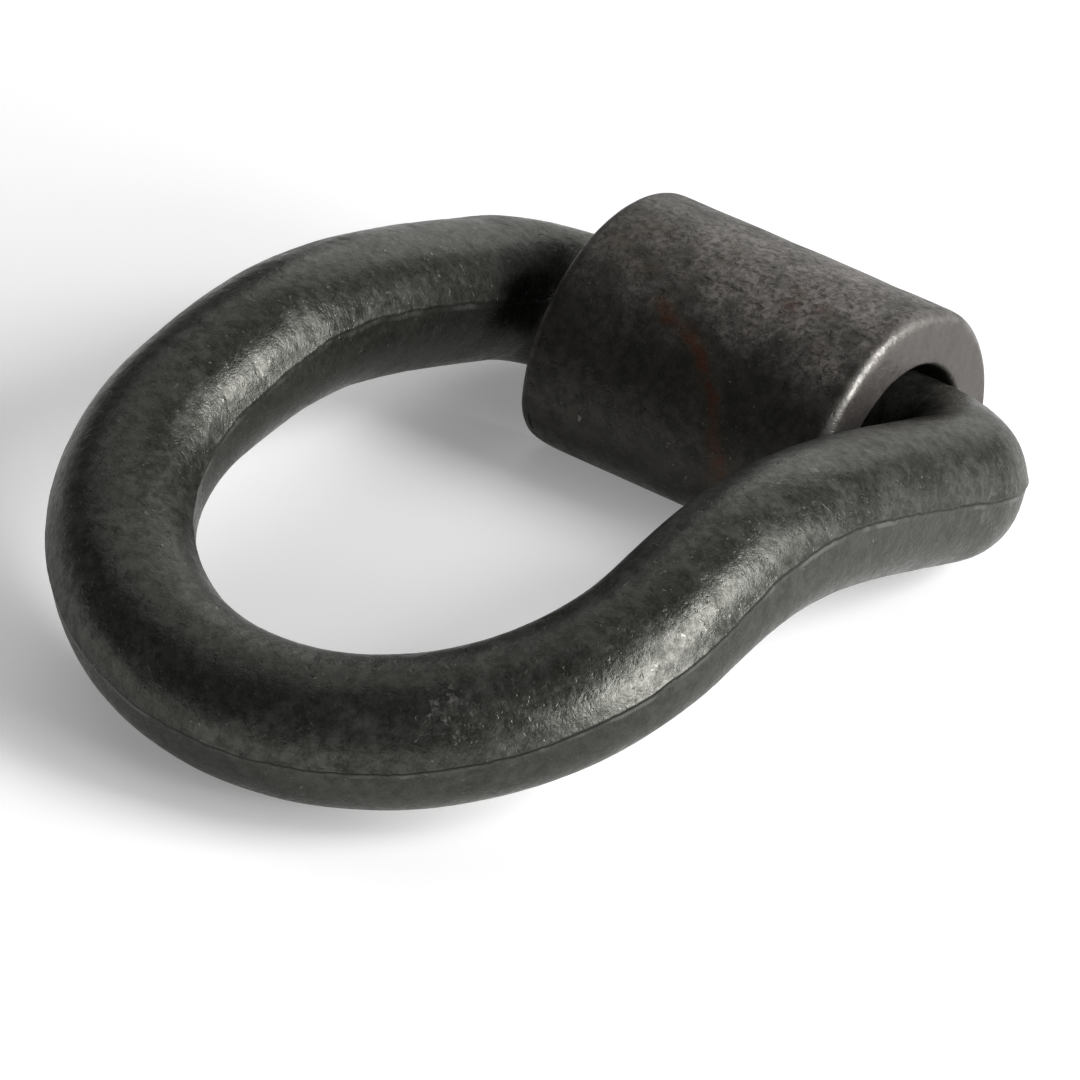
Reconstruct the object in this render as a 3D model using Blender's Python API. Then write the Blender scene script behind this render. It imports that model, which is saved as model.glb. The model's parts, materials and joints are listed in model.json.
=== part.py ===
"""Weld-on pad eye: a forged, bent D-ring that swings in a half-pipe weld saddle.

Metres, +Z up. The origin is the middle of the saddle's weld footprint, on the deck plane.
The hinge axis runs along X; at rest the ring lies towards -Y.
"""

import math

import bmesh
import bpy
from mathutils import Vector

MM = 0.001

# Ring, forged from round stock
STOCK_RADIUS = 12.7 * MM  # one-inch stock
BAR_HEIGHT = 13.1 * MM  # hinge axis above the deck
BAR_PUSHED_BACK = 4.7 * MM  # the loose bar lies this far behind the middle of the bore
BAR_PUSHED_ASIDE = -2.9 * MM  # and this far to one side
FOOT_HALF_WIDTH = 48.9 * MM  # middle of the bar to the centreline of a leg's foot
FOOT_BEND_RADIUS = 15.3 * MM
BOW_RADIUS = 50.2 * MM
BOW_CENTRE = 98.6 * MM  # hinge axis to the centre of the bow
LEG_RISE = 0.33  # slope of the legs, going up from the bar
BOW_FALL = 0.321  # slope of the bow, going down to its tip
CREST = 74.0 * MM  # hinge axis to the crest where the two slopes meet
CREST_SOFTNESS = 12.3 * MM
PARTING_ANGLE = math.radians(14)  # the parting line lies this far above the stock's middle
PARTING_LIFT = math.radians(8)  # and rises by this much at the crest
PARTING_SPREAD = 28.0 * MM
FLASH_WIDTH = 0.35 * MM  # trimmed flash standing out at the parting line

# Saddle
SADDLE_LENGTH = 61.0 * MM
ARCH_RADIUS = 28.3 * MM
BORE_RADIUS = 18.5 * MM
ARCH_CENTRE = 11.9 * MM  # above the deck
BEVEL_WIDTH = 7.9 * MM  # the skirts curve in by this much under the arch, for the weld
SKIRT_CORNER = 5.0 * MM  # rounding of the skirts' lower corners
RIM_ROUNDING = 2.4 * MM
BORE_ROUNDING = 0.8 * MM

# Steel
METALLIC = 0.75
SADDLE_COLOUR = (0.105, 0.095, 0.085)
SADDLE_ROUGHNESS = 0.5
RING_COLOUR = (0.085, 0.085, 0.08)
RING_ROUGHNESS = 0.45

# Mesh density
SECTION_POINTS = 28  # even, so that two of them lie on the parting line
BAR_STEPS = 9
FOOT_STEPS = 9
LEG_STEPS = 17
BOW_STEPS = 26
ARCH_STEPS = 30
BEVEL_STEPS = 6
RIM_STEPS = 4
CORNER_STEPS = 5
SMOOTH_ANGLE = math.radians(30)


def clear_scene():
    for obj in list(bpy.data.objects):
        bpy.data.objects.remove(obj, do_unlink=True)


def steel(name, colour, roughness):
    material = bpy.data.materials.new(name)
    material.use_nodes = True
    shader = material.node_tree.nodes["Principled BSDF"]
    shader.inputs["Base Color"].default_value = (*colour, 1.0)
    shader.inputs["Metallic"].default_value = METALLIC
    shader.inputs["Roughness"].default_value = roughness
    material.diffuse_color = (*colour, 1.0)
    return material


def skin(bm, sections, closed):
    """Quads between neighbouring sections, each a closed loop of as many points."""
    loops = [[bm.verts.new(point) for point in section] for section in sections]
    pairs = list(zip(loops, loops[1:]))
    if closed:
        pairs.append((loops[-1], loops[0]))
    for here, beyond in pairs:
        for i, vert in enumerate(here):
            after = (i + 1) % len(here)
            bm.faces.new((vert, here[after], beyond[after], beyond[i]))
    return loops


def solid_object(name, bm, material):
    bmesh.ops.recalc_face_normals(bm, faces=bm.faces)
    mesh = bpy.data.meshes.new(name)
    bm.to_mesh(mesh)
    bm.free()
    mesh.shade_smooth()
    mesh.set_sharp_from_angle(angle=SMOOTH_ANGLE)
    mesh.materials.append(material)
    obj = bpy.data.objects.new(name, mesh)
    bpy.context.collection.objects.link(obj)
    return obj


def arc(centre, radius, start, end, steps):
    """Points of an arc in the ring's plan, from just past its start to its end."""
    angles = [start + (end - start) * i / steps for i in range(1, steps + 1)]
    return [(centre[0] + radius * math.cos(a), centre[1] + radius * math.sin(a)) for a in angles]


def ring_plan():
    """The ring's centreline seen from above, once round from the middle of the bar."""
    foot = (FOOT_HALF_WIDTH - FOOT_BEND_RADIUS, -FOOT_BEND_RADIUS)
    bow = (0.0, -BOW_CENTRE)
    across, along = foot[0] - bow[0], foot[1] - bow[1]
    spread = math.acos((BOW_RADIUS - FOOT_BEND_RADIUS) / math.hypot(across, along))
    tangent = math.atan2(along, across) - spread  # direction of the leg's outward normal
    bar = [(foot[0] * i / BAR_STEPS, 0.0) for i in range(BAR_STEPS + 1)]
    bend = arc(foot, FOOT_BEND_RADIUS, math.pi / 2, tangent, FOOT_STEPS)
    curve = arc(bow, BOW_RADIUS, tangent, -math.pi / 2, BOW_STEPS)
    leg_end = (BOW_RADIUS * math.cos(tangent), bow[1] + BOW_RADIUS * math.sin(tangent))
    leg = []
    for i in range(1, LEG_STEPS + 1):
        share = i / LEG_STEPS
        leg.append(tuple(a + (b - a) * share for a, b in zip(bend[-1], leg_end)))
    half = bar + bend + leg + curve
    return half + [(-x, y) for x, y in half[-2:0:-1]]


def soft_ramp(reach):
    """Zero before the crest and one-to-one beyond it, with a soft knee."""
    return CREST_SOFTNESS * math.log1p(math.exp((reach - CREST) / CREST_SOFTNESS))


def ring_height(reach):
    """Height of the centreline over the bar, at a distance out from the hinge axis."""
    return LEG_RISE * reach - (LEG_RISE + BOW_FALL) * (soft_ramp(reach) - soft_ramp(0.0))


def ring_slope(reach):
    knee = 1.0 / (1.0 + math.exp(-(reach - CREST) / CREST_SOFTNESS))
    return LEG_RISE - (LEG_RISE + BOW_FALL) * knee


def stock_section(parting_angle):
    """(outward, up) points round the stock, with the flash standing out on both sides."""
    half = SECTION_POINTS // 2
    upper = math.pi - 2 * parting_angle
    lower = math.pi + 2 * parting_angle
    points = []
    for i in range(SECTION_POINTS):
        if i <= half:
            angle = parting_angle + upper * i / half
        else:
            angle = parting_angle + upper + lower * (i - half) / half
        reach = STOCK_RADIUS + (FLASH_WIDTH if i % half == 0 else 0.0)
        points.append((math.cos(angle) * reach, math.sin(angle) * reach))
    return points


def ring_sections():
    plan = ring_plan()
    centres = [Vector((x, y, ring_height(-y))) for x, y in plan]
    count = len(centres)
    sections = []
    for i, centre in enumerate(centres):
        along = (centres[(i + 1) % count] - centres[i - 1]).normalized()
        up = Vector((0.0, ring_slope(-centre.y), 1.0))
        outward = along.cross(up).normalized() * -1.0
        up = along.cross(outward).normalized()
        from_crest = (-centre.y - CREST) / PARTING_SPREAD
        points = stock_section(PARTING_ANGLE + PARTING_LIFT * math.exp(-(from_crest**2)))
        sections.append([centre + outward * out + up * high for out, high in points])
    return sections


def make_ring(material):
    bm = bmesh.new()
    skin(bm, ring_sections(), closed=True)
    ring = solid_object("forged_ring", bm, material)
    ring.location = (BAR_PUSHED_ASIDE, BAR_PUSHED_BACK, BAR_HEIGHT)
    return ring


def edge_drop(distance, radius):
    """How far a rounded edge has fallen away, at a distance in from the end face."""
    if distance >= radius:
        return 0.0
    return radius - math.sqrt(radius**2 - (radius - distance) ** 2)


def skirt_and_arch(radius, curve_in, foot_z):
    """One side of the saddle's section, from the -Y foot over the arch to the +Y foot."""
    skirt = []
    for i in range(BEVEL_STEPS):
        z = foot_z + (ARCH_CENTRE - foot_z) * i / BEVEL_STEPS
        skirt.append((radius - curve_in * (1.0 - z / ARCH_CENTRE) ** 2, z))
    angles = [math.pi * i / ARCH_STEPS for i in range(ARCH_STEPS + 1)]
    arch = [(radius * math.cos(a), ARCH_CENTRE + radius * math.sin(a)) for a in reversed(angles)]
    return [(-y, z) for y, z in skirt] + arch + [(y, z) for y, z in reversed(skirt)]


def saddle_section(x):
    """The saddle's closed outline at one station along X, outer side then bore side."""
    from_end = SADDLE_LENGTH / 2 - abs(x)
    foot_z = edge_drop(from_end, SKIRT_CORNER)
    outer = ARCH_RADIUS - edge_drop(from_end, RIM_ROUNDING)
    bore = BORE_RADIUS + edge_drop(from_end, BORE_ROUNDING)
    outside = skirt_and_arch(outer, BEVEL_WIDTH, foot_z)
    inside = skirt_and_arch(bore, 0.0, foot_z)
    return [(x, y, z) for y, z in outside + inside[::-1]]


def saddle_stations():
    """X stations, close together where the rims and the skirt corners are rounded."""
    half = SADDLE_LENGTH / 2
    rim = [RIM_ROUNDING * (1 - math.cos(math.pi / 2 * i / RIM_STEPS)) for i in range(RIM_STEPS + 1)]
    to_corner = (SKIRT_CORNER - RIM_ROUNDING) / CORNER_STEPS
    corner = [RIM_ROUNDING + to_corner * (i + 1) for i in range(CORNER_STEPS)]
    from_end = rim + corner
    return [d - half for d in from_end] + [half - d for d in reversed(from_end)]


def cap(bm, loop):
    """Closes an end with quads from the outer side across to the bore side."""
    count = len(loop) // 2
    for i in range(count - 1):
        bm.faces.new((loop[i], loop[i + 1], loop[-2 - i], loop[-1 - i]))


def make_saddle(material):
    bm = bmesh.new()
    loops = skin(bm, [saddle_section(x) for x in saddle_stations()], closed=False)
    cap(bm, loops[0])
    cap(bm, loops[-1])
    return solid_object("weld_saddle", bm, material)


clear_scene()
make_saddle(steel("saddle_steel", SADDLE_COLOUR, SADDLE_ROUGHNESS))
make_ring(steel("ring_steel", RING_COLOUR, RING_ROUGHNESS))
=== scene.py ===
"""Looks for a weld-on pad eye: a forged D-ring in a half-pipe weld saddle.

Both CAD nodes are replaced by finer forgings of the same form. They carry the die's parting line with
its trimmed flash, flaked mill scale, pits and wear on the edges. Some of their colour is painted light:
painted highlights along the ring's flash edge, on the saddle's rims and on its crown, and painted shade
in the parting crease, under the ring's parting line and low on the saddle. The forgings' lengths are in
millimetres until MM turns them into metres. The floor, the lights and the camera are in metres.
"""

import json
import math

import bpy
import numpy as np
from mathutils import Matrix, Vector, noise


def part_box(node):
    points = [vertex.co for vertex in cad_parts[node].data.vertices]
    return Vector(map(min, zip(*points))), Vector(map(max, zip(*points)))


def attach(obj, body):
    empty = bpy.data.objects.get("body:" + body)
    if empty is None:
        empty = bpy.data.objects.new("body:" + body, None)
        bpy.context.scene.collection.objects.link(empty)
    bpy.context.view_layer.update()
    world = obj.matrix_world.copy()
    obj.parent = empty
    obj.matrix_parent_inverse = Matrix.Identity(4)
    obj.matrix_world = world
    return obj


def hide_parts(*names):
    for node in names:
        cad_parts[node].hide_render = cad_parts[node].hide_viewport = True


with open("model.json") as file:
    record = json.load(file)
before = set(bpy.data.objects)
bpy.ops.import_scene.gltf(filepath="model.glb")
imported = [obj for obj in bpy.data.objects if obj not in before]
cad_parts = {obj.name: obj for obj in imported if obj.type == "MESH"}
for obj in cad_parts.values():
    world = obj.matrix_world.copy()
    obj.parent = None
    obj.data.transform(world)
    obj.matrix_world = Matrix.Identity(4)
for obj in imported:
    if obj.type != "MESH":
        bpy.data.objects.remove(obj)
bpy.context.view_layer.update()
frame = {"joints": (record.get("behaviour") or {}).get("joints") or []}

MM = 0.001

# ---------------------------------------------------------------- driving dimensions, in mm
ring_low, ring_high = (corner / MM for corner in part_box("forged_ring"))
saddle_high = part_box("weld_saddle")[1] / MM
HINGE = Vector(frame["joints"][0]["pos_m"]) / MM
BAR_CENTRE = Vector(((ring_low.x + ring_high.x) / 2, HINGE.y, HINGE.z))
STOCK_RADIUS = 12.7
FOOT_HALF_WIDTH = 48.9
FOOT_BEND_RADIUS = 15.3
BOW_RADIUS = 50.2
BOW_CENTRE = 98.6
LEG_RISE = 0.33
BOW_FALL = 0.321
CREST = 74.0
CREST_SOFTNESS = 12.3
PARTING_ANGLE = math.radians(14)
PARTING_LIFT = math.radians(8)
PARTING_SPREAD = 28.0

SADDLE_HALF = saddle_high.x
ARCH_RADIUS = saddle_high.y
ARCH_CENTRE = saddle_high.z - ARCH_RADIUS
BORE_RADIUS = 18.5
BEVEL_WIDTH = 7.9
SKIRT_CORNER = 5.0
RIM_ROUNDING = 2.4
BORE_ROUNDING = 0.8

RING_SPACING = 0.65  # mesh fineness
SADDLE_SPACING = 0.7
SKIRT_ROWS = 26

FLAKE_DEPTH = 0.035  # relief of the forged skin
PITTING_DEPTH = 0.06
DIMPLE_DEPTH = 0.20
SKIN_PROUD = 0.06  # the skin stands this far outside the plain form before the relief is cut
RING_SWELL = 0.10
SADDLE_SWELL = 0.12


# ---------------------------------------------------------------- noise helpers
def waves(point, scale, seed, octaves=3):
    """Smooth noise of about -1 to 1, with features about as long as scale, in mm."""
    place = point / scale + Vector((seed * 7.3, seed * 3.1, seed * 5.7))
    return noise.fractal(place, 0.6, 2.1, octaves)


def step_up(value, low, high):
    """0 below low, 1 above high, smooth between them."""
    share = min(1.0, max(0.0, (value - low) / (high - low)))
    return share * share * (3.0 - 2.0 * share)


def scale_depth(place, amount):
    """How deep the forged skin lies here, in mm: flakes of scale that came off, and small pits."""
    flakes = FLAKE_DEPTH * step_up(waves(place, 7.0, 11, 4), 0.12, 0.24)
    pitting = PITTING_DEPTH * step_up(waves(place, 1.9, 12, 2), 0.40, 0.65)
    dimples = DIMPLE_DEPTH * step_up(waves(place, 5.0, 13, 2), 0.60, 0.90)
    return amount * (flakes + pitting + dimples)


def set_attribute(mesh, name, values):
    layer = mesh.attributes.new(name, "FLOAT", "POINT")
    layer.data.foreach_set("value", np.array(values, np.float32))


def displace(mesh, depth_at):
    """Moves each point out along its normal by what depth_at says, in mm."""
    places = [Vector(vert.co) / MM for vert in mesh.vertices]
    normals = [Vector(vert.normal) for vert in mesh.vertices]
    for i, vert in enumerate(mesh.vertices):
        vert.co = (places[i] + normals[i] * depth_at(i, places[i])) * MM
    mesh.update()


def skin(name, points, around, closed):
    """A mesh of quads round and along a list of sections with that many points each."""
    rows = len(points) // around
    faces = []
    for row in range(rows if closed else rows - 1):
        here = row * around
        beyond = (row + 1) % rows * around
        for i in range(around):
            after = (i + 1) % around
            faces.append((here + i, here + after, beyond + after, beyond + i))
    if not closed:
        faces.append(tuple(range(around))[::-1])
        faces.append(tuple(range((rows - 1) * around, rows * around)))
    mesh = bpy.data.meshes.new(name)
    mesh.from_pydata([point * MM for point in points], [], faces)
    mesh.update()
    return mesh


def arc(centre, radius, start, end, steps):
    angles = np.linspace(start, end, steps + 1)
    return np.column_stack((centre[0] + radius * np.cos(angles), centre[1] + radius * np.sin(angles)))


# ---------------------------------------------------------------- ring
def ring_height(reach):
    at_bar = np.logaddexp(0, -CREST / CREST_SOFTNESS)
    knee = CREST_SOFTNESS * (np.logaddexp(0, (reach - CREST) / CREST_SOFTNESS) - at_bar)
    return LEG_RISE * reach - (LEG_RISE + BOW_FALL) * knee


def ring_slope(reach):
    return LEG_RISE - (LEG_RISE + BOW_FALL) / (1.0 + math.exp(-(reach - CREST) / CREST_SOFTNESS))


def ring_centreline(spacing):
    """Evenly spaced points once round the ring's centreline, from the middle of the bar."""
    foot = (FOOT_HALF_WIDTH - FOOT_BEND_RADIUS, -FOOT_BEND_RADIUS)
    across, along = foot[0], foot[1] + BOW_CENTRE
    spread = math.acos((BOW_RADIUS - FOOT_BEND_RADIUS) / math.hypot(across, along))
    tangent = math.atan2(along, across) - spread
    bend = arc(foot, FOOT_BEND_RADIUS, math.pi / 2, tangent, 60)
    bow = arc((0.0, -BOW_CENTRE), BOW_RADIUS, tangent, -math.pi / 2, 200)
    legs = np.linspace(bend[-1], bow[0], 100)
    half = np.vstack((np.array([[0.0, 0.0]]), bend, legs[1:-1], bow))
    whole = np.vstack((half, (half * (-1, 1))[-2::-1]))
    path = np.column_stack((whole, ring_height(-whole[:, 1])))
    lengths = np.concatenate(([0.0], np.cumsum(np.linalg.norm(np.diff(path, axis=0), axis=1))))
    count = int(lengths[-1] / spacing)
    marks = np.arange(count) * lengths[-1] / count
    return [Vector([np.interp(mark, lengths, path[:, axis]) for axis in range(3)]) for mark in marks]


DRAFT_DEPTH = 0.45  # the lower half is drawn in by this much, this far under the parting line
DRAFT_REACH = 3.2

# Distances from the parting line at which the skin has rows of points, in mm, and the rows between.
NEAR_LINE = [0.12, 0.35, 0.6, 0.95, 1.4, 2.0, 2.8]
UPPER_ROWS = 26
LOWER_ROWS = 24


def section_rows(outer_line, inner_line):
    """(angle, distance above the nearest parting line) of each point round the stock.

    The two lines are angles above the stock's middle, on the outer and the inner side.
    """
    near = [distance / STOCK_RADIUS for distance in NEAR_LINE]
    rows = []
    top_start, top_end = outer_line, math.pi - inner_line
    rows += [(top_start + step, step * STOCK_RADIUS) for step in near]
    middle = np.linspace(top_start + near[-1], top_end - near[-1], UPPER_ROWS + 1)[1:-1]
    rows += [(a, min(a - top_start, top_end - a) * STOCK_RADIUS) for a in middle]
    rows += [(top_end - step, step * STOCK_RADIUS) for step in reversed(near)]
    low_start, low_end = top_end, 2 * math.pi + outer_line
    rows += [(low_start + step, -step * STOCK_RADIUS) for step in near]
    middle = np.linspace(low_start + near[-1], low_end - near[-1], LOWER_ROWS + 1)[1:-1]
    rows += [(a, -min(a - low_start, low_end - a) * STOCK_RADIUS) for a in middle]
    rows += [(low_end - step, -step * STOCK_RADIUS) for step in reversed(near)]
    return rows


def parting_step(distance, lip):
    """How far the skin stands out near the parting line: trimmed flash above a narrow crease."""
    if distance > 0:
        return lip * math.exp(-distance / 0.6)
    draft = -distance / DRAFT_REACH
    crease = 1.4 * lip * math.exp(distance / 0.35)
    return 0.5 * lip * math.exp(distance / 1.2) - crease - DRAFT_DEPTH * draft * math.exp(1.0 - draft)


# Rubbed places on the ring: (x, y, z, reach, strength) of each.
SCUFFS = [
    (35.5, -138.5, 26.0, 7.5, 1.0),
    (57.0, -8.0, 22.0, 13.0, 0.45),
    (45.0, -60.0, 46.0, 12.0, 0.35),
]


def scuff_at(place):
    """0 to 1: how rubbed the ring's skin is here."""
    amount = 0.0
    for x, y, z, reach, strength in SCUFFS:
        away = (place - Vector((x, y, z))).length / reach
        amount = max(amount, strength * step_up(1.0 - away, 0.0, 0.6))
    return amount


def ring_mesh():
    centres = ring_centreline(RING_SPACING)
    count = len(centres)
    points, distances, on_outside = [], [], []
    for i, centre in enumerate(centres):
        along = (centres[(i + 1) % count] - centres[i - 1]).normalized()
        up = Vector((0.0, ring_slope(-centre.y), 1.0))
        outward = -along.cross(up).normalized()
        up = along.cross(outward).normalized()
        from_crest = (-centre.y - CREST) / PARTING_SPREAD
        line = PARTING_ANGLE + PARTING_LIFT * math.exp(-(from_crest**2))
        sides = [centre + outward * STOCK_RADIUS, centre - outward * STOCK_RADIUS]
        jags = [0.28 * waves(side, 7.0, 1, 2) + 0.16 * waves(side, 1.6, 6, 2) for side in sides]
        heights = [0.20 + 0.08 * waves(side, 9.0, 2) for side in sides]
        outer_line, inner_line = (line + jag / STOCK_RADIUS for jag in jags)
        for angle, distance in section_rows(outer_line, inner_line):
            outer_side = math.cos(angle) > 0
            lip = heights[0] if outer_side else heights[1]
            reach = STOCK_RADIUS + parting_step(distance, lip)
            points.append(BAR_CENTRE + centre + (outward * math.cos(angle) + up * math.sin(angle)) * reach)
            distances.append(distance)
            on_outside.append(outer_side)
    mesh = skin("ring_forging", points, len(points) // count, closed=True)

    def depth_at(i, place):
        upper = 1.0 if distances[i] > 0 else 0.4
        calm = min(1.0, abs(distances[i]) / 2.0)
        swell = RING_SWELL * waves(place, 18.0, 3, 2)
        return SKIN_PROUD + swell - calm * scale_depth(place, upper)

    displace(mesh, depth_at)
    wear_and_highlight, crease, under = [], [], []
    for i, distance in enumerate(distances):
        # Painted highlight and wear: a lighter line along the flash edge just under the parting line.
        strength = 0.35 + 0.65 * step_up(0.3 + waves(points[i], 8.0, 7), 0.0, 0.8)
        wear_and_highlight.append(strength * math.exp(-(((distance + 0.8) / 0.5) ** 2)))
        # Painted shade: the parting crease is darker, strongest on the outer side.
        sharpness = 1.0 if on_outside[i] else 0.45
        crease.append(sharpness * math.exp(-(((distance + 0.12) / 0.28) ** 2)))
        # Painted shade: darker below the parting line, strongest on the inner side.
        under.append(step_up(-distance, 0.0, 0.8) * (0.6 if on_outside[i] else 1.0))
    set_attribute(mesh, "wear_and_highlight", wear_and_highlight)
    set_attribute(mesh, "crease", crease)
    set_attribute(mesh, "under", under)
    set_attribute(mesh, "scuffs", [scuff_at(point) for point in points])
    return mesh


# ---------------------------------------------------------------- saddle
def corner_drop(height, radius):
    if height >= radius:
        return 0.0
    return radius - math.sqrt(radius**2 - (radius - height) ** 2)


def wall_section(half_length, thickness):
    """(x, depth, kind) round the wall: outer skin, an end face, the bore and the other end face.

    Depth is measured in from the outer skin. Kind is 0 on the outer skin and in the bore, 1 on an end
    face, and between the two on the rounded edges.
    """
    rim = min(RIM_ROUNDING, 0.5 * thickness)
    lip = min(BORE_ROUNDING, 0.3 * thickness)
    long_steps, end_steps, rim_steps, lip_steps = 78, 9, 7, 4
    section = []
    outer = np.linspace(-(half_length - rim), half_length - rim, long_steps + 1)
    section += [(x, 0.0, 0.0) for x in outer[:-1]]
    for step in range(rim_steps + 1):
        turn = math.pi / 2 * step / rim_steps
        place = (half_length - rim + rim * math.sin(turn), rim - rim * math.cos(turn))
        section.append((*place, step / rim_steps))
    for depth in np.linspace(rim, thickness - lip, end_steps + 1)[1:-1]:
        section.append((half_length, depth, 1.0))
    for step in range(lip_steps + 1):
        turn = math.pi / 2 * step / lip_steps
        place = (half_length - lip + lip * math.cos(turn), thickness - lip + lip * math.sin(turn))
        section.append((*place, 1.0 - step / lip_steps))
    bore = np.linspace(half_length - lip, -(half_length - lip), long_steps // 2 + 1)
    section += [(x, thickness, 0.0) for x in bore[1:-1]]
    other_end = [(-x, depth, kind) for x, depth, kind in section[long_steps : len(section) - len(bore) + 2]]
    return section + other_end[::-1]


def saddle_path():
    """(y, z, outward y, outward z) of the outer skin's stations, from the -Y foot over to the +Y foot."""
    skirt = [ARCH_CENTRE * (i / SKIRT_ROWS) ** 2 for i in range(SKIRT_ROWS + 1)]
    stations = [(-ARCH_RADIUS, z, -1.0, 0.0) for z in skirt[:-1]]
    steps = int(math.pi * ARCH_RADIUS / SADDLE_SPACING)
    for angle in np.linspace(math.pi, 0.0, steps + 1):
        out_y, out_z = math.cos(angle), math.sin(angle)
        stations.append((ARCH_RADIUS * out_y, ARCH_CENTRE + ARCH_RADIUS * out_z, out_y, out_z))
    return stations + [(ARCH_RADIUS, z, 1.0, 0.0) for z in reversed(skirt[:-1])]


def bevel_cut(height):
    """How far the skirt has curved in under the arch at this height, ready for the weld."""
    return BEVEL_WIDTH * max(0.0, 1.0 - height / ARCH_CENTRE) ** 2


def saddle_mesh():
    wall = ARCH_RADIUS - BORE_RADIUS
    points, kinds, rims = [], [], []
    for y, z, out_y, out_z in saddle_path():
        cut = bevel_cut(z)
        half_length = SADDLE_HALF - corner_drop(z, SKIRT_CORNER)
        for x, depth, kind in wall_section(half_length, wall - cut):
            inward = cut + depth
            points.append(Vector((x, y - out_y * inward, z - out_z * inward)))
            kinds.append(kind)
            rims.append(math.exp(-(((kind - 0.5) / 0.35) ** 2)) if depth < wall / 2 else 0.0)
    around = len(points) // len(saddle_path())
    mesh = skin("saddle_forging", points, around, closed=False)

    def depth_at(i, place):
        near_end = kinds[i] > 0.5 or SADDLE_HALF - abs(place.x) < 4.0
        calm = 0.25 if near_end else 1.0
        swell = SADDLE_SWELL * waves(place, 15.0, 21, 2)
        depth = SKIN_PROUD + swell - calm * scale_depth(place, 0.7)
        return depth * step_up(place.z, 0.3, 3.0)

    displace(mesh, depth_at)
    # Painted highlight and wear: the rounded rims of the ends are lighter, more so higher up.
    wear_and_highlight = []
    for i, rim in enumerate(rims):
        facing = 0.6 + 0.4 * step_up(0.4 + waves(points[i], 6.0, 22), 0.0, 0.6)
        wear_and_highlight.append(rim * facing * step_up(points[i].z, 8.0, 20.0))
    set_attribute(mesh, "wear_and_highlight", wear_and_highlight)
    set_attribute(mesh, "end_face", kinds)
    set_attribute(mesh, "rust", [rust_at(point) for point in points])
    return mesh


# The reddish streak that water left down the front of the arch: (x, y, z, half width) along it.
RUST_STREAK = [
    (-10.0, -16.8, 34.2, 1.6),
    (-3.6, -18.8, 32.4, 1.5),
    (2.0, -21.0, 30.2, 1.3),
    (6.0, -23.6, 26.6, 1.3),
    (9.0, -25.8, 22.0, 1.7),
    (11.6, -27.4, 16.0, 2.2),
    (12.8, -26.0, 8.0, 2.4),
]
# Fainter rusty places: (x, y, z, reach, strength) of each.
RUST_TINTS = [
    (-23.0, -7.0, 38.5, 9.0, 0.34),
    (-8.0, -3.0, 40.0, 8.0, 0.24),
    (-13.5, -12.5, 36.8, 6.0, 0.32),
    (13.0, -6.5, 38.5, 7.0, 0.60),
    (20.0, -14.0, 34.5, 5.0, 0.24),
]


def rust_at(place):
    """0 to 1: how rusty the saddle's skin is here."""
    amount = 0.0
    ragged = 0.9 * waves(place, 3.0, 31)
    for start, end in zip(RUST_STREAK, RUST_STREAK[1:]):
        a, b = Vector(start[:3]), Vector(end[:3])
        share = min(1.0, max(0.0, (place - a).dot(b - a) / (b - a).length_squared))
        away = (place - a.lerp(b, share)).length
        width = start[3] + (end[3] - start[3]) * share
        strength = 0.75 + 0.25 * waves(place, 5.0, 32)
        amount = max(amount, strength * step_up(1.7 * width + ragged - away, 0.0, 1.4 * width))
    for x, y, z, reach, strength in RUST_TINTS:
        away = (place - Vector((x, y, z))).length / reach
        patchy = step_up(waves(place, 4.0, 33, 4), -0.1, 0.4)
        amount = max(amount, strength * patchy * step_up(1.0 - away, 0.0, 0.5))
    return amount


def finish_piece(name, mesh, body, node, material):
    piece = bpy.data.objects.new(name, mesh)
    bpy.context.scene.collection.objects.link(piece)
    mesh.shade_smooth()
    mesh.materials.append(material)
    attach(piece, body)
    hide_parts(node)


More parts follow.
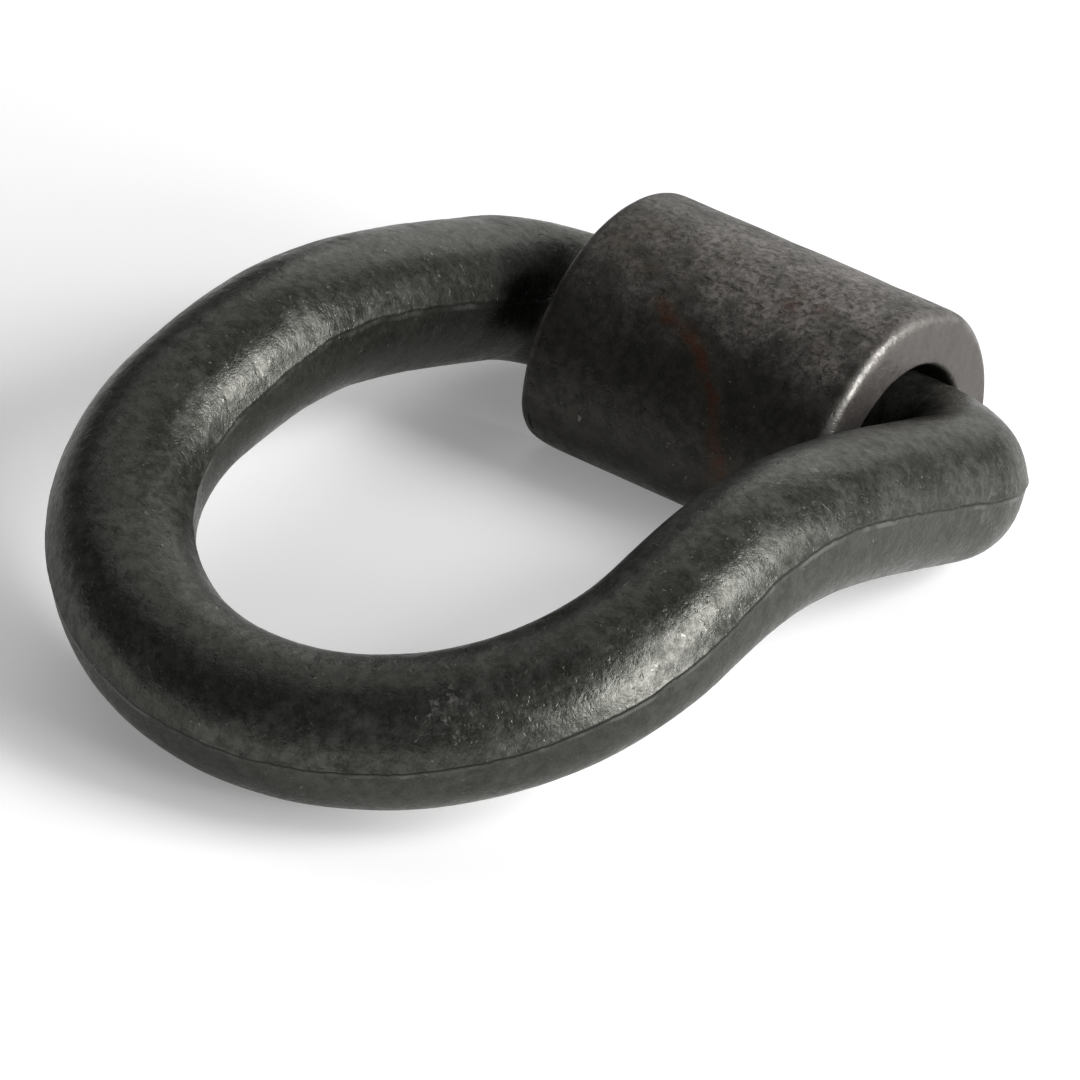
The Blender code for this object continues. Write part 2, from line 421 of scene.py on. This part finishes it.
# ---------------------------------------------------------------- materials
class Shading:
    """Builds the nodes of one material round its Principled shader."""

    def __init__(self, name):
        self.material = bpy.data.materials.new(name)
        self.material.use_nodes = True
        self.tree = self.material.node_tree
        self.shader = self.tree.nodes["Principled BSDF"]
        self.place = self.tree.nodes.new("ShaderNodeTexCoord").outputs["Object"]

    def feed(self, socket, value):
        if isinstance(value, bpy.types.NodeSocket):
            self.tree.links.new(value, socket)
        else:
            socket.default_value = value

    def noise(self, size, detail=4.0, roughness=0.55, distortion=0.0):
        """Noise of 0 to 1 with features about as long as size, in mm."""
        node = self.tree.nodes.new("ShaderNodeTexNoise")
        self.feed(node.inputs["Vector"], self.place)
        node.inputs["Scale"].default_value = 1.0 / (size * MM)
        node.inputs["Detail"].default_value = detail
        node.inputs["Roughness"].default_value = roughness
        node.inputs["Distortion"].default_value = distortion
        return node.outputs["Fac"]

    def attribute(self, name):
        node = self.tree.nodes.new("ShaderNodeAttribute")
        node.attribute_name = name
        return node.outputs["Fac"]

    def coordinate_mm(self, axis):
        """Where the surface lies along one axis of the piece, in mm."""
        node = self.tree.nodes.new("ShaderNodeSeparateXYZ")
        self.feed(node.inputs[0], self.place)
        return self.math("MULTIPLY", node.outputs[axis], 1.0 / MM)

    def math(self, operation, first, second=0.0):
        node = self.tree.nodes.new("ShaderNodeMath")
        node.operation = operation
        self.feed(node.inputs[0], first)
        self.feed(node.inputs[1], second)
        return node.outputs[0]

    def spread(self, value, low, high, to_low=0.0, to_high=1.0):
        """Maps low..high onto to_low..to_high and keeps it there."""
        node = self.tree.nodes.new("ShaderNodeMapRange")
        node.interpolation_type = "SMOOTHSTEP"
        self.feed(node.inputs["Value"], value)
        node.inputs["From Min"].default_value = low
        node.inputs["From Max"].default_value = high
        node.inputs["To Min"].default_value = to_low
        node.inputs["To Max"].default_value = to_high
        return node.outputs["Result"]

    def blend(self, factor, first, second):
        node = self.tree.nodes.new("ShaderNodeMix")
        node.data_type = "RGBA"
        self.feed(node.inputs["Factor"], factor)
        self.feed(node.inputs[6], first)
        self.feed(node.inputs[7], second)
        return node.outputs[2]

    def bump(self, height, distance_mm, normal=None):
        node = self.tree.nodes.new("ShaderNodeBump")
        node.inputs["Distance"].default_value = distance_mm * MM
        node.inputs["Strength"].default_value = 1.0
        self.feed(node.inputs["Height"], height)
        if normal is not None:
            self.feed(node.inputs["Normal"], normal)
        return node.outputs["Normal"]


def forged_steel(name, dark, light, contrast):
    """Dark mill scale with lighter patches, a fine mottle, grain and bare specks."""
    shading = Shading(name)
    patches = shading.spread(shading.noise(14.0, 6.0, 0.62, 0.6), 0.40, 0.62)
    mottle = shading.spread(shading.noise(2.4, 6.0, 0.68), 0.38, 0.62)
    share = shading.math("MULTIPLY", mottle, shading.spread(patches, 0.0, 1.0, 1.0 - contrast, 1.0))
    colour = shading.blend(share, (*dark, 1.0), (*light, 1.0))
    grain = shading.spread(shading.noise(0.45, 3.0, 0.6), 0.42, 0.72)
    colour = shading.blend(shading.math("MULTIPLY", grain, 0.5), colour, (*light, 1.0))
    specks = shading.spread(shading.noise(1.1, 2.0, 0.5, 0.4), 0.68, 0.74)
    specks = shading.math("MULTIPLY", specks, shading.spread(shading.noise(11.0, 2.0), 0.45, 0.6))
    return shading, shading.blend(specks, colour, BARE_SPECKS), patches


def finish_steel(shading, colour, roughness, wear_and_highlight, patches):
    shading.feed(shading.shader.inputs["Base Color"], colour)
    shading.shader.inputs["Specular Tint"].default_value = EDGE_TINT
    rough = shading.spread(patches, 0.0, 1.0, roughness[0], roughness[1])
    rough = shading.math("SUBTRACT", rough, shading.math("MULTIPLY", wear_and_highlight, 0.06))
    grain = shading.spread(shading.noise(1.0, 4.0, 0.65), 0.3, 0.7, -0.07, 0.07)
    shading.feed(shading.shader.inputs["Roughness"], shading.math("ADD", rough, grain))
    coarse = shading.bump(shading.noise(2.2, 4.0, 0.62), 0.15)
    fine = shading.bump(shading.noise(0.5, 3.0, 0.65), 0.05, coarse)
    pitted = shading.spread(shading.noise(1.3, 2.0, 0.5), 0.28, 0.38)
    shading.feed(shading.shader.inputs["Normal"], shading.bump(pitted, 0.05, fine))
    return shading.material


EDGE_TINT = (0.78, 0.78, 0.76, 1.0)
RING_METALLIC = 0.75
SADDLE_METALLIC = 0.6
RING_ROUGHNESS = (0.31, 0.41)
SADDLE_ROUGHNESS = (0.42, 0.54)
DARK_SCALE = (0.031, 0.031, 0.027)
LIGHT_SCALE = (0.076, 0.076, 0.069)
DARK_BROWN = (0.024, 0.0235, 0.020)
LIGHT_BROWN = (0.052, 0.049, 0.043)
# Colours of the crown: a painted highlight, lighter than the rest of the saddle's skin.
CROWN_SHEEN_DARK = (0.044, 0.040, 0.036, 1.0)
CROWN_SHEEN_LIGHT = (0.195, 0.178, 0.166, 1.0)
BARE_SPECKS = (0.17, 0.165, 0.155, 1.0)
# Painted shade in the parting crease.
PAINTED_CREASE_SHADE = (0.008, 0.008, 0.007, 1.0)
# Painted highlight, partly wear, along the flash edge under the parting line.
FLASH_EDGE_HIGHLIGHT = (0.10, 0.10, 0.092, 1.0)
RUST = (0.080, 0.025, 0.012, 1.0)
RUST_BROWN = (0.055, 0.033, 0.018, 1.0)
# Painted shade low on the saddle, near the floor.
PAINTED_LOW_SHADE = (0.010, 0.009, 0.007, 1.0)
# Painted highlight, partly wear, on the saddle's rounded rims.
WORN_RIM_HIGHLIGHT = (0.140, 0.133, 0.125, 1.0)
FACE_DARK = (0.062, 0.056, 0.052, 1.0)
FACE_LIGHT = (0.106, 0.095, 0.089, 1.0)


def ring_steel():
    shading, colour, patches = forged_steel("ring_steel", DARK_SCALE, LIGHT_SCALE, 0.5)
    # Painted shade: the ring is darker below its parting line.
    under = shading.math("MULTIPLY", shading.attribute("under"), 0.7)
    colour = shading.blend(under, colour, (*DARK_SCALE, 1.0))
    marks = shading.spread(shading.noise(2.2, 4.0, 0.65, 0.5), 0.54, 0.66)
    colour = shading.blend(shading.math("MULTIPLY", marks, shading.attribute("scuffs")), colour, BARE_SPECKS)
    # Painted highlight and wear: lighter along the flash edge.
    wear_and_highlight = shading.spread(shading.attribute("wear_and_highlight"), 0.15, 0.9)
    colour = shading.blend(wear_and_highlight, colour, FLASH_EDGE_HIGHLIGHT)
    # Painted shade: darker in the parting crease.
    crease = shading.spread(shading.attribute("crease"), 0.1, 0.9)
    colour = shading.blend(crease, colour, PAINTED_CREASE_SHADE)
    shading.shader.inputs["Metallic"].default_value = RING_METALLIC
    return finish_steel(shading, colour, RING_ROUGHNESS, wear_and_highlight, patches)


def saddle_steel():
    shading, colour, patches = forged_steel("saddle_steel", DARK_BROWN, LIGHT_BROWN, 0.45)
    height = shading.coordinate_mm("Z")
    # Painted highlight: the crown of the arch is lighter, more so towards +X, with a wrinkled grain.
    wrinkles = shading.spread(shading.noise(1.3, 6.0, 0.75, 0.3), 0.36, 0.64)
    ragged = shading.spread(shading.noise(6.0, 4.0), 0.3, 0.7, -5.0, 5.0)
    crown = shading.spread(shading.math("ADD", height, ragged), 30.0, 42.5)
    lit_crown_colour = shading.blend(wrinkles, CROWN_SHEEN_DARK, CROWN_SHEEN_LIGHT)
    crown_sheen_mask = shading.math("MULTIPLY", crown, shading.spread(shading.coordinate_mm("X"), -32.0, 8.0, 0.5, 1.0))
    colour = shading.blend(crown_sheen_mask, colour, lit_crown_colour)
    rusty = shading.attribute("rust")
    rust = shading.math("MULTIPLY", rusty, shading.spread(shading.noise(1.6), 0.25, 0.6, 0.5, 0.9))
    rust_colour = shading.blend(shading.spread(rusty, 0.4, 0.8), RUST_BROWN, RUST)
    colour = shading.blend(rust, colour, rust_colour)
    # Painted shade: darker towards the bottom of the saddle.
    ragged = shading.math("ADD", height, shading.spread(shading.noise(3.0), 0.3, 0.7, -1.6, 1.6))
    painted_low_shade = shading.math("MULTIPLY", shading.spread(ragged, 5.0, 16.0, 1.0, 0.0), 0.88)
    colour = shading.blend(painted_low_shade, colour, PAINTED_LOW_SHADE)
    end_face = shading.spread(shading.attribute("end_face"), 0.6, 1.0)
    face_colour = shading.blend(shading.noise(3.0, 5.0, 0.65), FACE_DARK, FACE_LIGHT)
    colour = shading.blend(shading.math("MULTIPLY", end_face, 0.85), colour, face_colour)
    # Painted highlight and wear on the rounded rims, broken by chips.
    chipped = shading.spread(shading.noise(1.5, 4.0, 0.6), 0.32, 0.55, 0.35, 1.0)
    wear_and_highlight = shading.math("MULTIPLY", shading.spread(shading.attribute("wear_and_highlight"), 0.15, 0.85), chipped)
    colour = shading.blend(wear_and_highlight, colour, WORN_RIM_HIGHLIGHT)
    shading.shader.inputs["Metallic"].default_value = SADDLE_METALLIC
    return finish_steel(shading, colour, SADDLE_ROUGHNESS, wear_and_highlight, patches)


finish_piece("ring_forging", ring_mesh(), "ring", "forged_ring", ring_steel())
finish_piece("saddle_forging", saddle_mesh(), "saddle", "weld_saddle", saddle_steel())


# ---------------------------------------------------------------- stage, light and camera
WHITE = (1.0, 1.0, 1.0, 1.0)
PALE = (0.9, 0.9, 0.9, 1.0)
FLOOR_SIZE = 6.0
FLOOR_DROP = 0.0004  # the floor lies this far under the deck plane
FLOOR_ROUGHNESS = 0.9
FLOOR_GLOW = 0.22
WORLD_STRENGTH = 0.12


def make_floor():
    bpy.ops.mesh.primitive_plane_add(size=FLOOR_SIZE, location=(0.0, 0.0, -FLOOR_DROP))
    floor = bpy.context.object
    floor.name = "floor"
    material = bpy.data.materials.new("pale_floor")
    material.use_nodes = True
    shader = material.node_tree.nodes["Principled BSDF"]
    shader.inputs["Base Color"].default_value = PALE
    shader.inputs["Roughness"].default_value = FLOOR_ROUGHNESS
    shader.inputs["Emission Color"].default_value = WHITE
    shader.inputs["Emission Strength"].default_value = FLOOR_GLOW
    floor.data.materials.append(material)


LIGHT_DISTANCE = 1.8
# (name, azimuth and elevation in degrees, size, power in watts) of each soft light.
LIGHTS = [
    ("key_high", 22.0, 32.0, 0.8, 34.0),
    ("key_low", 0.0, 11.0, 0.85, 39.0),
    ("back_low", 110.0, 24.0, 1.2, 6.5),
    ("back_high", 150.0, 55.0, 1.6, 5.0),
]

CAMERA_AZIMUTH = math.radians(31.85)
CAMERA_ELEVATION = math.radians(29.72)
CAMERA_ROLL = math.radians(6.57)
CAMERA_DISTANCE = 1.742
FIELD_WIDTH = 0.1882  # what the camera sees at that distance
AIM_LEFT = 0.0371  # the camera aims this far left of the middle of the arch
AIM_BELOW = 0.0240


def soft_box(name, azimuth, elevation, size, power):
    """A square soft light aimed at the origin. Azimuth 0 is on the +X side and 90 on the +Y side."""
    turn, rise = math.radians(azimuth), math.radians(elevation)
    direction = Vector((math.cos(turn) * math.cos(rise), math.sin(turn) * math.cos(rise), math.sin(rise)))
    light = bpy.data.lights.new(name, "AREA")
    light.size = size
    light.energy = power
    lamp = bpy.data.objects.new(name, light)
    lamp.location = direction * LIGHT_DISTANCE
    lamp.rotation_euler = (-direction).to_track_quat("-Z", "Y").to_euler()
    bpy.context.scene.collection.objects.link(lamp)


def make_world():
    world = bpy.data.worlds.new("studio")
    world.use_nodes = True
    world.node_tree.nodes["Background"].inputs["Color"].default_value = WHITE
    world.node_tree.nodes["Background"].inputs["Strength"].default_value = WORLD_STRENGTH
    bpy.context.scene.world = world


def make_camera():
    flat = math.cos(CAMERA_ELEVATION)
    back_x = math.sin(CAMERA_AZIMUTH) * flat
    back_y = -math.cos(CAMERA_AZIMUTH) * flat
    back = Vector((back_x, back_y, math.sin(CAMERA_ELEVATION)))
    right = Vector((math.cos(CAMERA_AZIMUTH), math.sin(CAMERA_AZIMUTH), 0.0))
    up = back.cross(right)
    rolled_right = right * math.cos(CAMERA_ROLL) + up * math.sin(CAMERA_ROLL)
    rolled_up = up * math.cos(CAMERA_ROLL) - right * math.sin(CAMERA_ROLL)
    arch = Vector((0.0, 0.0, ARCH_CENTRE * MM))
    place = arch + back * CAMERA_DISTANCE
    aim = arch - rolled_right * AIM_LEFT - rolled_up * AIM_BELOW
    towards = (place - aim).normalized()
    sideways = rolled_up.cross(towards).normalized()
    upwards = towards.cross(sideways)
    camera = bpy.data.cameras.new("camera")
    camera.sensor_width = 36.0
    camera.lens = camera.sensor_width * CAMERA_DISTANCE / FIELD_WIDTH
    camera.clip_end = 20.0
    view = bpy.data.objects.new("camera", camera)
    turn = Matrix((sideways, upwards, towards)).transposed().to_4x4()
    view.matrix_world = Matrix.Translation(place) @ turn
    bpy.context.scene.collection.objects.link(view)
    bpy.context.scene.camera = view


make_floor()
make_world()
for light in LIGHTS:
    soft_box(*light)
make_camera()
bpy.context.scene.view_settings.view_transform = "Standard"
